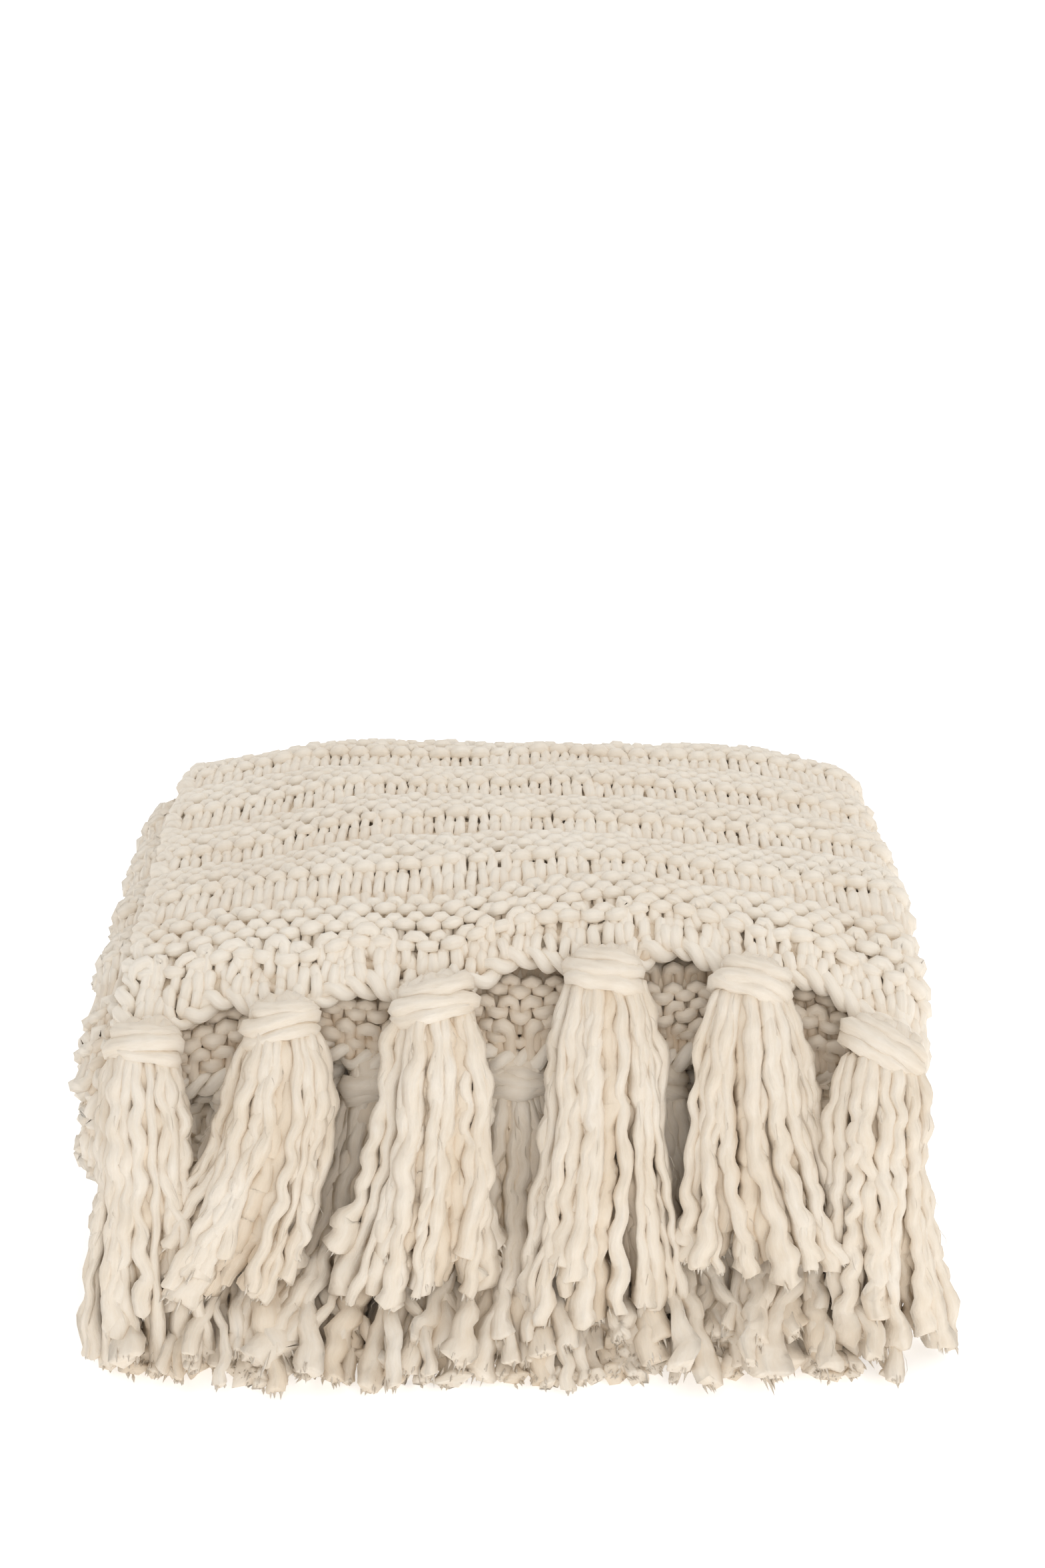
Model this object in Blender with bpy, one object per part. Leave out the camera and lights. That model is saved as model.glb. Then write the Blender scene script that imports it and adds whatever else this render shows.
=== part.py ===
"""A chunky knit throw with a tasselled hem at each end, folded for a shelf.

The cloth is one sheet. It is folded in three across its width, which makes a bundle of three plies,
and the bundle then goes back and forth through four layers. The upper hem hangs over the front with
its tassels, and the lower hem is tucked under the stack. X runs across the stack, -Y is its front and
Z is up. The origin is on the floor under the middle of the whole thing, its fringe included.
"""

import math
from collections import namedtuple

import bmesh
import bpy
from mathutils import Matrix, Vector

# Thickness of the knit, and the air between its plies and between the layers of the stack
PLY = 0.0155
PLY_GAP = 0.0035
LAYER_GAP = 0.003
PLIES = 3
LAYERS = 4
PITCH = PLY + PLY_GAP
BUNDLE = PLIES * PLY + (PLIES - 1) * PLY_GAP
LAYER = BUNDLE + LAYER_GAP

# Folds across the width: where the plies turn, and where the two selvedges end
FOLD_X = 0.2125
FOLD_RADIUS = PITCH / 2
LEFT_SELVEDGE = -0.208
RIGHT_SELVEDGE = 0.204
FOLD_ARC = math.pi * FOLD_RADIUS
PLY_WIDTHS = (FOLD_X - LEFT_SELVEDGE, 2 * FOLD_X, FOLD_X + RIGHT_SELVEDGE)
CLOTH_WIDTH = sum(PLY_WIDTHS) + 2 * FOLD_ARC

# Layers of the stack, along Y: the axes of its turns, and how far the last layer reaches
BACK_Y = 0.184
FRONT_Y = -0.035
RUN = BACK_Y - FRONT_Y
LAST_RUN = 0.160
TURN_RADIUS = LAYER / 2
TURN_ARC = math.pi * TURN_RADIUS
TOP_Z = (LAYERS - 1) * LAYER + BUNDLE / 2
STACK_HEIGHT = LAYERS * LAYER
CLOTH_END = (LAYERS - 1) * (RUN + TURN_ARC) + LAST_RUN

# Front of the top layer, which wraps down round the front turn of the layers below
WRAP_RADIUS = 1.5 * LAYER
WRAP_AXIS_Z = TOP_Z - WRAP_RADIUS
WRAP_ARC = WRAP_RADIUS * math.pi / 2
HEM_TOP = WRAP_RADIUS * math.radians(42)
HEM_ARCH = WRAP_RADIUS * math.radians(5)
HEM_SWING = 0.009
HEM_MIDDLE = WRAP_RADIUS * math.radians(66)
HEM_UNDER = WRAP_ARC + 0.018

# Welts: bands of purl rows that stand proud of the knit rows between them
WELT_REPEAT = 0.0655
WELT_HEIGHT = 0.0026

# Slump of the stack, as shares of its height or in metres
CROWN = 0.055
LEFT_SLUMP = 0.13
RIGHT_SLUMP = 0.05
WAVE = 0.009
SPREAD = 0.014
LEFT_BULGE = 0.012
RIGHT_BULGE = -0.012

# Steps of the sheet's mesh along each stretch
PLY_STEPS = (7, 4, 4)
FOLD_STEPS = 4
FRONT_STEPS = 3
RUN_STEPS = (14, 2, 2, 2)
TURN_STEPS = 8

# How far a knot stands off the edge that it hangs from
HEAD_GAP = 0.0009

WOOL = (0.86, 0.79, 0.68, 1.0)
YARN = (0.9, 0.84, 0.74, 1.0)

# Tassels of each ply: their distances from the left selvedge, and whether the lower hem has them too,
# where the middle ply's would be shut in between the other two
PlyRow = namedtuple("PlyRow", "places both_hems")
PLY_ROWS = (
    PlyRow((0.0210, 0.0858, 0.1646, 0.2564, 0.3370, 0.4095), True),
    PlyRow((0.5170, 0.5885, 0.6620, 0.7365, 0.8050), False),
    PlyRow((0.9190, 0.9990, 1.0790, 1.1590, 1.2390), True),
)

# How each tassel of the top ply falls: sideways at its tip, how far it fans out, and its tip's height
Fall = namedtuple("Fall", "lean fan tip")
PLAIN_FALL = Fall(0.0, 1.0, None)
TOP_FALLS = (
    Fall(-0.011, 0.72, 0.014),
    Fall(-0.012, 1.00, 0.050),
    Fall(-0.011, 1.04, 0.048),
    Fall(-0.003, 1.12, 0.038),
    Fall(0.008, 1.04, 0.057),
    Fall(0.014, 0.74, 0.014),
)

Head = namedtuple("Head", "width deep tall stand_off upright overlap")
Lock = namedtuple("Lock", "across deep steps inset root_gap tip_gap layer_gap taper")
Route = namedtuple("Route", "leave knee tip")
Fringe = namedtuple("Fringe", "name ply head lock route")

UPPER_FRINGE = (
    Fringe(
        "tassel_top", 0,
        Head(0.044, 0.024, 0.030, 0.0205, 0.5, 0.010),
        Lock(5, 3, 4, 0.0008, 0.0088, 0.0160, 0.0100, 1.08),
        Route((-0.018, -0.046), (-0.170, 0.090), (-0.172, 0.046)),
    ),
    Fringe(
        "tassel_middle", 1,
        Head(0.036, 0.016, 0.024, 0.0, 0.0, -HEAD_GAP),
        Lock(4, 2, 3, 0.0010, 0.0088, 0.0160, 0.0088, 1.05),
        Route((-0.006, -0.060), (-0.138, 0.0080), (-0.196, 0.0075)),
    ),
    Fringe(
        "tassel_under", 2,
        Head(0.036, 0.015, 0.022, 0.0, 0.0, -HEAD_GAP),
        Lock(4, 2, 3, 0.0010, 0.0088, 0.0175, 0.0080, 1.05),
        Route((-0.002, -0.030), (-0.104, 0.007), (-0.132, 0.0071)),
    ),
)
LOWER_FRINGE = Fringe(
    "tassel_tucked", 0,
    Head(0.040, 0.0115, 0.022, 0.0, 0.0, -HEAD_GAP),
    Lock(3, 1, 2, 0.0012, 0.0130, 0.0180, 0.0, 0.95),
    Route((-0.030, -0.002), (-0.060, -0.0030), (-0.092, -0.0030)),
)


def smooth(share):
    """A ramp from 0 to 1 with no corner at either end."""
    share = min(max(share, 0.0), 1.0)
    return share * share * (3 - 2 * share)


def mix(first, last, share):
    return first + (last - first) * share


def stack_line(along):
    """Middle of the bundle at a distance along it: its place and its upward side, both as (y, z).

    Distance 0 is where the top layer's flat run starts at the front. It is negative in the wrap that
    hangs over the front. The side is that of the top ply, so it points down in every other layer.
    """
    if along < -WRAP_ARC:
        return (FRONT_Y - WRAP_RADIUS, WRAP_AXIS_Z + WRAP_ARC + along), (-1.0, 0.0)
    if along < 0:
        angle = -along / WRAP_RADIUS
        side = (-math.sin(angle), math.cos(angle))
        return (FRONT_Y + WRAP_RADIUS * side[0], WRAP_AXIS_Z + WRAP_RADIUS * side[1]), side
    layer = min(int(along / (RUN + TURN_ARC)), LAYERS - 1)
    rest = along - layer * (RUN + TURN_ARC)
    backward = layer % 2 == 0
    sign = 1.0 if backward else -1.0
    level = TOP_Z - layer * LAYER
    start = FRONT_Y if backward else BACK_Y
    if rest <= RUN or layer == LAYERS - 1:
        return (start + sign * rest, level), (0.0, sign)
    angle = (rest - RUN) / TURN_RADIUS
    end = BACK_Y if backward else FRONT_Y
    place = (
        end + sign * TURN_RADIUS * math.sin(angle),
        level - TURN_RADIUS + TURN_RADIUS * math.cos(angle),
    )
    return place, (math.sin(angle), sign * math.cos(angle))


def width_line(across):
    """Middle of the cloth at a distance from its left selvedge, in the bundle's cross section.

    Returns its place and its right side, both as (x, height in the bundle).
    """
    top, middle, _ = PLY_WIDTHS
    if across <= top:
        return (LEFT_SELVEDGE + across, PITCH), (0.0, 1.0)
    across -= top
    if across <= FOLD_ARC:
        side = (math.sin(across / FOLD_RADIUS), math.cos(across / FOLD_RADIUS))
        return (FOLD_X + FOLD_RADIUS * side[0], FOLD_RADIUS * (1 + side[1])), side
    across -= FOLD_ARC
    if across <= middle:
        return (FOLD_X - across, 0.0), (0.0, -1.0)
    across -= middle
    if across <= FOLD_ARC:
        turn = across / FOLD_RADIUS
        side = (math.sin(turn), -math.cos(turn))
        return (-FOLD_X - FOLD_RADIUS * side[0], -FOLD_RADIUS * (1 + side[1])), side
    across -= FOLD_ARC
    return (-FOLD_X + across, -PITCH), (0.0, 1.0)


def hem_line(x, height):
    """Distance along the bundle at which the upper hem ends, at a place in its cross section."""
    arch = HEM_ARCH * (x / FOLD_X) ** 2
    top = HEM_TOP + arch - HEM_SWING * math.sin(3.6 * x / FOLD_X)
    middle = HEM_MIDDLE + 0.3 * arch
    if height >= 0:
        return -mix(middle, top, height / PITCH)
    return -mix(middle, HEM_UNDER, -height / PITCH)


def welt(along, hem, across):
    """How far the right side of the knit stands out at its welts, on the top layer and round the back."""
    shows = smooth(2 - 2 * (along - RUN) / TURN_ARC)
    shows *= smooth((PLY_WIDTHS[0] + FOLD_ARC - across) / FOLD_ARC)
    outer = min(along, 0.0) * (1 + PITCH / WRAP_RADIUS) + max(along, 0.0)
    outer += max(along - RUN, 0.0) * PITCH / TURN_RADIUS - hem * (1 + PITCH / WRAP_RADIUS)
    return shows * WELT_HEIGHT * math.cos(math.tau * outer / WELT_REPEAT)


def slump(point):
    """Settles the neat stack into the shape in which a soft throw lies."""
    x, y, z = point
    side = x / FOLD_X
    depth = (y - FRONT_Y) / RUN
    height = min(max(z / STACK_HEIGHT, 0.0), 1.0)
    left = smooth((-side - 0.38) / 0.75)
    right = smooth((side - 0.62) / 0.5)
    crown = CROWN * (1 - 0.6 * side * side) * (1 - 0.25 * (2 * depth - 1) ** 2)
    wave = WAVE * math.sin(5.2 * side + 1.1) * math.cos(2.3 * depth)
    sag = LEFT_SLUMP * left * (1 - 0.55 * smooth(depth)) + RIGHT_SLUMP * right
    z *= 1 + crown + wave - sag
    bulge = math.sqrt(1 - height * height)
    x += SPREAD * side * (1 - height) + bulge * (RIGHT_BULGE * right - LEFT_BULGE * left)
    y += 0.006 * math.sin(3.1 * height + 1.7 * side)
    return Vector((x, y, z))


def cloth_point(across, along, lift):
    """Place on the folded cloth, lift metres to its right side from its middle."""
    (x, height), (side_x, side_up) = width_line(across)
    x += lift * side_x
    height += lift * side_up
    (y, z), (back, up) = stack_line(along)
    return slump(Vector((x, y + height * back, z + height * up)))


def steps(start, length, count):
    return [start + length * i / count for i in range(count)]


def width_stations():
    """Distances from the left selvedge at which the sheet has a line of points."""
    found, start = [], 0.0
    for ply, width in enumerate(PLY_WIDTHS):
        found += steps(start, width, PLY_STEPS[ply])
        start += width
        if ply < PLIES - 1:
            found += steps(start, FOLD_ARC, FOLD_STEPS)
            start += FOLD_ARC
    return [*found, CLOTH_WIDTH]


def length_stations(hem):
    """Distances along the bundle at which the sheet has a line of points, from its upper hem on."""
    found = steps(hem, -hem, FRONT_STEPS)
    for layer, count in enumerate(RUN_STEPS):
        start = layer * (RUN + TURN_ARC)
        if layer == LAYERS - 1:
            return [*found, *steps(start, LAST_RUN, count), CLOTH_END]
        found += steps(start, RUN, count)
        found += steps(start + RUN, TURN_ARC, TURN_STEPS)


def material(name, colour, roughness):
    """A plain wool finish."""
    made = bpy.data.materials.new(name)
    made.use_nodes = True
    shader = made.node_tree.nodes["Principled BSDF"]
    shader.inputs["Base Color"].default_value = colour
    shader.inputs["Roughness"].default_value = roughness
    shader.inputs["Metallic"].default_value = 0.0
    return made


def add_object(name, bm, finish, parent):
    """Turns the finished bmesh into an object of the throw."""
    bmesh.ops.recalc_face_normals(bm, faces=bm.faces)
    mesh = bpy.data.meshes.new(name)
    bm.to_mesh(mesh)
    bm.free()
    mesh.materials.append(finish)
    mesh.shade_smooth()
    mesh.set_sharp_from_angle(angle=math.radians(50))
    obj = bpy.data.objects.new(name, mesh)
    obj.parent = parent
    bpy.context.scene.collection.objects.link(obj)
    return obj


def flat_slab(columns, rows):
    """A slab one unit thick whose points stand at whole numbers, to be moved to the cloth's places."""
    bm = bmesh.new()
    bmesh.ops.create_grid(bm, x_segments=columns, y_segments=rows, size=0.5)
    bmesh.ops.translate(bm, verts=bm.verts, vec=(0.5, 0.5, 0.0))
    bmesh.ops.scale(bm, verts=bm.verts, vec=(columns, rows, 1.0))
    made = bmesh.ops.extrude_face_region(bm, geom=bm.faces[:])
    lifted = [item for item in made["geom"] if isinstance(item, bmesh.types.BMVert)]
    bmesh.ops.translate(bm, verts=lifted, vec=(0.0, 0.0, 1.0))
    return bm


def build_cloth(finish, parent):
    """The sheet: knitted flat, then folded in three across and back and forth along."""
    across = width_stations()
    rows = len(length_stations(-HEM_TOP)) - 1
    bm = flat_slab(len(across) - 1, rows)
    along_at = []
    for place in across:
        (x, height), _ = width_line(place)
        along_at.append(length_stations(hem_line(x, height)))
    for vert in bm.verts:
        column, row, face = (round(value) for value in vert.co)
        place, along = across[column], along_at[column][row]
        lift = (face - 0.5) * PLY
        if face:
            lift += welt(along, along_at[column][0], place)
        vert.co = cloth_point(place, along, lift)
    return add_object("throw", bm, finish, parent)


def hem_place(across, upper, inward):
    """Middle of a hem's edge, or a little way in from it, on the straight line between two stations."""
    stations = width_stations()
    column = max(index for index, station in enumerate(stations[:-1]) if station <= across)
    ends = []
    for station in stations[column:column + 2]:
        (x, height), _ = width_line(station)
        along = hem_line(x, height) + inward if upper else CLOTH_END - inward
        ends.append(cloth_point(station, along, 0.0))
    share = (across - stations[column]) / (stations[column + 1] - stations[column])
    return ends[0].lerp(ends[1], share)


def hem_frame(across, upper, upright):
    """Where a tassel hangs on a hem: the hem's place, and a turn whose Z runs up the tassel."""
    place = hem_place(across, upper, 0.0)
    right = hem_place(across + 0.004, upper, 0.0) - hem_place(across - 0.004, upper, 0.0)
    right *= math.copysign(1.0 / right.length, right.x)
    up = (hem_place(across, upper, 0.004) - place).normalized() + upright * Vector((0.0, 0.0, 1.0))
    up = (up - up.dot(right) * right).normalized()
    turn = Matrix((right, up.cross(right), up)).transposed()
    return place, turn


def head_mesh(head, lock):
    """The wrapped knot of a tassel, with its underside split into one facet for each lock of yarn."""
    bm = bmesh.new()
    bmesh.ops.create_grid(bm, x_segments=lock.across, y_segments=lock.deep, size=0.5)
    bmesh.ops.scale(bm, verts=bm.verts, vec=(0.86 * head.width, 0.84 * head.deep, 1.0))
    top = bm.faces[:]
    lifted = []
    for rise, swell in ((0.45, 1.16), (0.55, 0.74)):
        edges = list({edge for face in top for edge in face.edges}) if lifted else []
        made = bmesh.ops.extrude_face_region(bm, geom=top + edges)
        top = [item for item in made["geom"] if isinstance(item, bmesh.types.BMFace)]
        lifted = [item for item in made["geom"] if isinstance(item, bmesh.types.BMVert)]
        bmesh.ops.translate(bm, verts=lifted, vec=(0.0, 0.0, rise * head.tall))
        bmesh.ops.scale(bm, verts=lifted, vec=(swell, swell, 1.0))
    return bm


def lock_centres(root, leave, knee, tip, lock, lane, fall):
    """Places along the middle of one lock, from the knot's underside to its cut end."""
    column, row = lane
    start = Vector((root.x, root.y, root.z))
    curve = (start, start + Vector((0.0, *leave)), Vector((start.x, *knee)), Vector((start.x, *tip)))
    found = []
    for step in range(1, lock.steps + 1):
        share = step / lock.steps
        rest = 1 - share
        place = (
            curve[0] * rest**3 + curve[1] * 3 * rest * rest * share
            + curve[2] * 3 * rest * share * share + curve[3] * share**3
        )
        heading = (
            (curve[1] - curve[0]) * rest * rest + (curve[2] - curve[1]) * 2 * rest * share
            + (curve[3] - curve[2]) * share * share
        ).normalized()
        behind = Vector((0.0, -heading.z, heading.y))
        spread = mix(lock.root_gap, lock.tip_gap * fall.fan, share ** 0.8)
        sway = 0.0022 * math.sin(4.0 * step + 2.1 * column + 1.3 * row) * (step < lock.steps)
        place += Vector((fall.lean * share + column * spread + sway, 0.0, 0.0))
        place += behind * (row * lock.layer_gap)
        found.append(place)
    return found


def grow_lock(bm, face, centres, taper):
    """Draws one lock of yarn out of a facet of the knot, through the given places."""
    here = face.calc_center_median()
    facing = face.normal.copy()
    places = [here, *centres]
    for step in range(1, len(places)):
        ahead = (places[min(step + 1, len(places) - 1)] - places[step - 1]).normalized()
        face = bmesh.ops.extrude_discrete_faces(bm, faces=[face])["faces"][0]
        turn = facing.rotation_difference(ahead)
        for vert in face.verts:
            arm = vert.co - here
            arm.rotate(turn)
            vert.co = places[step] + arm * taper
        here, facing = places[step], ahead


def build_tassel(name, across, fringe, upper, fall, finish, parent):
    """One tassel: its knot, seated on the hem, and the locks of yarn that hang from it."""
    head, lock = fringe.head, fringe.lock
    place, turn = hem_frame(across, upper, head.upright)
    bm = head_mesh(head, lock)
    bmesh.ops.recalc_face_normals(bm, faces=bm.faces)
    underside = [face for face in bm.faces if face.normal.z < -0.9]
    bmesh.ops.inset_individual(bm, faces=underside, thickness=lock.inset, use_even_offset=True)
    bmesh.ops.translate(bm, verts=bm.verts, vec=(0.0, -head.stand_off, head.overlap - head.tall))
    lanes = {face: face.calc_center_median().copy() for face in underside}
    frame = Matrix.Translation(place) @ turn.to_4x4()
    bmesh.ops.transform(bm, matrix=frame, verts=bm.verts)
    bm.normal_update()
    root = sum((face.calc_center_median() for face in underside), Vector()) / len(underside)
    cell_x = 0.86 * head.width / lock.across
    cell_y = 0.84 * head.deep / lock.deep
    knee, tip = fringe.route.knee, fringe.route.tip
    if fall.tip:
        tip = (tip[0], fall.tip)
    if not upper:
        knee = (root.y + knee[0], root.z + knee[1])
        tip = (root.y + tip[0], root.z + tip[1])
    for face in underside:
        lane = (lanes[face].x / cell_x, (lanes[face].y + head.stand_off) / cell_y)
        centres = lock_centres(root, fringe.route.leave, knee, tip, lock, lane, fall)
        grow_lock(bm, face, centres, lock.taper)
    return add_object(name, bm, finish, parent)


def centre_on_origin(objects):
    """Moves every point by the same amount, so that the whole stands centred over the origin."""
    points = [vert.co for obj in objects for vert in obj.data.vertices]
    low = Vector([min(point[axis] for point in points) for axis in range(3)])
    high = Vector([max(point[axis] for point in points) for axis in range(3)])
    middle = (low + high) / 2
    for obj in objects:
        obj.data.transform(Matrix.Translation((-middle.x, -middle.y, -low.z)))


def main():
    for obj in list(bpy.data.objects):
        bpy.data.objects.remove(obj)
    whole = bpy.data.objects.new("knit_throw", None)
    bpy.context.scene.collection.objects.link(whole)
    wool = material("wool", WOOL, 0.95)
    yarn = material("yarn", YARN, 0.95)
    built = [build_cloth(wool, whole)]
    for ply, row in enumerate(PLY_ROWS):
        fringe = UPPER_FRINGE[ply]
        for number, across in enumerate(row.places):
            fall = PLAIN_FALL if ply else TOP_FALLS[number]
            name = f"{fringe.name}_{number + 1}"
            built.append(build_tassel(name, across, fringe, True, fall, yarn, whole))
            if not row.both_hems:
                continue
            name = f"{LOWER_FRINGE.name}_{ply + 1}_{number + 1}"
            built.append(build_tassel(name, across, LOWER_FRINGE, False, PLAIN_FALL, yarn, whole))
    centre_on_origin(built)


main()
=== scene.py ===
"""Looks of a chunky knit throw, folded into a soft stack with its tasselled hems down the front.

The folded cloth is rebuilt from the same sizes as its solid. Its courses are laid on it as real yarn, in
bands of purl and knit, and each tassel is a wrapped hank of thick-and-thin roving. X runs across the
stack, -Y is its front and Z is up, in metres.
"""

from __future__ import annotations

import logging
import math
from dataclasses import dataclass, field
from enum import Enum
from typing import Any, Sequence

import bmesh
import bpy
import numpy as np
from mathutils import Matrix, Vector

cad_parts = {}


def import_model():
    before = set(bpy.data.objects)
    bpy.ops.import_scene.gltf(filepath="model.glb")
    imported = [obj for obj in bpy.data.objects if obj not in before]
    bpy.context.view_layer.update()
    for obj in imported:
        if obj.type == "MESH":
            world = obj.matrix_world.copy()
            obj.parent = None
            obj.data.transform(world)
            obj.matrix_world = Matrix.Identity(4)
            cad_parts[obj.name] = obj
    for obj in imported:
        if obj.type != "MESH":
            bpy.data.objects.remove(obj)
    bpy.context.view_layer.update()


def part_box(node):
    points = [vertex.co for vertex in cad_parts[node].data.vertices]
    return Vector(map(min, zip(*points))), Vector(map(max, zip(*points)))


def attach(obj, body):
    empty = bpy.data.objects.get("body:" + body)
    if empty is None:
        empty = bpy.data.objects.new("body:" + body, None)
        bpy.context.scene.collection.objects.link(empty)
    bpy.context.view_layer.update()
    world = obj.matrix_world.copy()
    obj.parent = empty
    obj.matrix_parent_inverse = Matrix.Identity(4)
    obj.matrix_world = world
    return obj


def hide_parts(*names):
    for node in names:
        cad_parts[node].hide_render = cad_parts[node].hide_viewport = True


LOG = logging.getLogger("knit_throw")
SEED = 11
TAU = math.tau
# The turn from one strand to the next that fills a hank evenly
GOLDEN_ANGLE = 2.39996
# The length of one turn of the yarn's finer twist
FINE_TWIST = 0.019
# How far the pattern is shifted from one yarn to the next
PATTERN_STEP = 0.137
# The width of a yarn's first and last rings, as a share of its own, so that its ends are closed
CLOSED_END = 0.02
# The least heights of a brushed fibre and a stray hair over the floor
LOWEST_FIBRE, LOWEST_HAIR = 0.0006, 0.0004
# Where the cloth's length is measured, from the left selvedge
TOP_MIDDLE = 0.2
Array = np.ndarray
Colour = tuple[float, float, float, float]


def smooth(share: Array) -> Array:
    """Returns a ramp from 0 to 1 with no corner at either end."""
    share = np.clip(share, 0.0, 1.0)
    return share * share * (3 - 2 * share)


def unit(vectors: Array) -> Array:
    """Returns the vectors at length 1."""
    return vectors / np.maximum(np.linalg.norm(vectors, axis=-1, keepdims=True), 1e-12)


def distances(line: Array) -> Array:
    """Returns how far along a line each of its points is."""
    return np.concatenate(([0.0], np.cumsum(np.linalg.norm(np.diff(line, axis=0), axis=-1))))


def twin_coil(turns: int, rings: int) -> Array:
    """Returns the angles along two yarns that are twisted together, half a turn apart."""
    return np.linspace(0, TAU * turns, turns * rings + 1)[None, :] + np.array(((0.0,), (math.pi,)))


def placed(name: str, mesh: bpy.types.Mesh) -> bpy.types.Object:
    """Returns a new object of the scene, made of the mesh."""
    obj = bpy.data.objects.new(name, mesh)
    bpy.context.scene.collection.objects.link(obj)
    return obj


@dataclass(frozen=True)
class FoldedCloth:
    """The path of the cloth: three plies across, and four layers back and forth.

    The sizes are those of the throw's solid. The hem's angles are where it ends in the front wrap, in the
    middle of the top ply, how far it arches towards the sides, and where the middle ply ends.
    """

    ply: float = 0.0155
    ply_gap: float = 0.0035
    layer_gap: float = 0.003
    plies: int = 3
    layers: int = 4
    fold_x: float = 0.2125
    left_selvedge: float = -0.208
    right_selvedge: float = 0.204
    back_y: float = 0.184
    front_y: float = -0.035
    last_run: float = 0.160
    hem_angles: tuple[float, float, float] = (42.0, 5.0, 66.0)
    hem_swing: float = 0.009
    hem_drop: float = 0.018
    crown: float = 0.055
    left_slump: float = 0.13
    right_slump: float = 0.05
    wave: float = 0.009
    spread: float = 0.014
    left_bulge: float = 0.012
    right_bulge: float = -0.012
    origin: tuple[float, float] = (0.0, 0.0)

    @property
    def pitch(self) -> float:
        """Returns the distance between the middles of two plies."""
        return self.ply + self.ply_gap

    @property
    def bundle(self) -> float:
        """Returns the thickness of all the plies together."""
        return self.plies * self.ply + (self.plies - 1) * self.ply_gap

    @property
    def layer(self) -> float:
        """Returns the distance between two layers of the stack."""
        return self.bundle + self.layer_gap

    @property
    def fold_arc(self) -> float:
        """Returns the length of a fold across the width, along the middle of the cloth."""
        return math.pi * self.pitch / 2

    @property
    def ply_widths(self) -> tuple[float, float, float]:
        """Returns the flat width of each ply."""
        return self.fold_x - self.left_selvedge, 2 * self.fold_x, self.fold_x + self.right_selvedge

    @property
    def width(self) -> float:
        """Returns the width of the cloth, opened out."""
        return sum(self.ply_widths) + 2 * self.fold_arc

    @property
    def run(self) -> float:
        """Returns the length of a layer between its turns."""
        return self.back_y - self.front_y

    @property
    def turn_arc(self) -> float:
        """Returns the length of a turn of the bundle, along its middle."""
        return math.pi * self.layer / 2

    @property
    def top_z(self) -> float:
        """Returns the height of the middle of the top layer."""
        return (self.layers - 1) * self.layer + self.bundle / 2

    @property
    def wrap_radius(self) -> float:
        """Returns the radius at which the top layer wraps round the front turn."""
        return 1.5 * self.layer

    @property
    def end(self) -> float:
        """Returns the distance along the bundle at which the lower hem ends."""
        return (self.layers - 1) * (self.run + self.turn_arc) + self.last_run

    def width_line(self, across: Array | float) -> tuple[Array, Array, Array, Array]:
        """Places the cloth's middle in the bundle's cross section.

        Args:
            across: distances from the left selvedge of the top ply.

        Returns:
            x, height in the bundle, and the right side's direction as its x and height.
        """
        top, middle, _ = self.ply_widths
        radius = self.pitch / 2
        first = np.clip((across - top) / radius, 0, math.pi)
        second = np.clip((across - top - self.fold_arc - middle) / radius, 0, math.pi)
        flat = np.minimum(across, top) - np.clip(across - top - self.fold_arc, 0, middle)
        flat = flat + np.maximum(across - top - 2 * self.fold_arc - middle, 0)
        x = self.left_selvedge + flat + radius * (np.sin(first) - np.sin(second))
        height = radius * (1 + np.cos(first)) - radius * (1 - np.cos(second))
        turned = first + second
        away = np.where(second > 0, -1.0, 1.0)
        return x, height, away * np.where(second > 0, -np.sin(second), np.sin(first)), np.cos(first) * np.cos(second)

    def stack_line(self, along: Array) -> tuple[Array, Array, Array, Array]:
        """Places the bundle's middle in the stack's section.

        Args:
            along: distances from the front of the top layer's flat run, negative in the front wrap.

        Returns:
            y, z, and the upward side's direction as its y and z.
        """
        step = self.run + self.turn_arc
        layer = np.clip(np.floor(along / step), 0, self.layers - 1)
        rest = along - layer * step
        sign = np.where(layer % 2 == 0, 1.0, -1.0)
        level = self.top_z - layer * self.layer
        start = np.where(sign > 0, self.front_y, self.back_y)
        finish = np.where(sign > 0, self.back_y, self.front_y)
        radius = self.layer / 2
        angle = np.where(layer == self.layers - 1, 0.0, np.maximum(rest - self.run, 0.0) / radius)
        turning = angle > 0
        y = np.where(turning, finish + sign * radius * np.sin(angle), start + sign * rest)
        z = np.where(turning, level - radius + radius * np.cos(angle), level)
        side_y = np.where(turning, np.sin(angle), 0.0)
        side_z = np.where(turning, sign * np.cos(angle), sign)
        wrap = self.wrap_radius
        turned = np.clip(-along / wrap, 0.0, math.pi / 2)
        below = np.minimum(along + wrap * math.pi / 2, 0.0)
        in_wrap = along < 0
        y = np.where(in_wrap, self.front_y - wrap * np.sin(turned), y)
        z = np.where(in_wrap, self.top_z - wrap + wrap * np.cos(turned) + below, z)
        side_y = np.where(in_wrap, -np.sin(turned), side_y)
        side_z = np.where(in_wrap, np.cos(turned), side_z)
        return y, z, side_y, side_z

    def hem_line(self, across: Array | float) -> Array:
        """Returns the distance along the bundle at which the upper hem ends."""
        x, height, _, _ = self.width_line(across)
        top, arched, middle = (self.wrap_radius * math.radians(angle) for angle in self.hem_angles)
        under = self.wrap_radius * math.pi / 2 + self.hem_drop
        arch = arched * (x / self.fold_x) ** 2
        top = top + arch - self.hem_swing * np.sin(3.6 * x / self.fold_x)
        upper = middle + 0.3 * arch + (top - middle - 0.3 * arch) * height / self.pitch
        lower = middle + 0.3 * arch + (under - middle - 0.3 * arch) * -height / self.pitch
        return -np.where(height >= 0, upper, lower)

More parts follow.
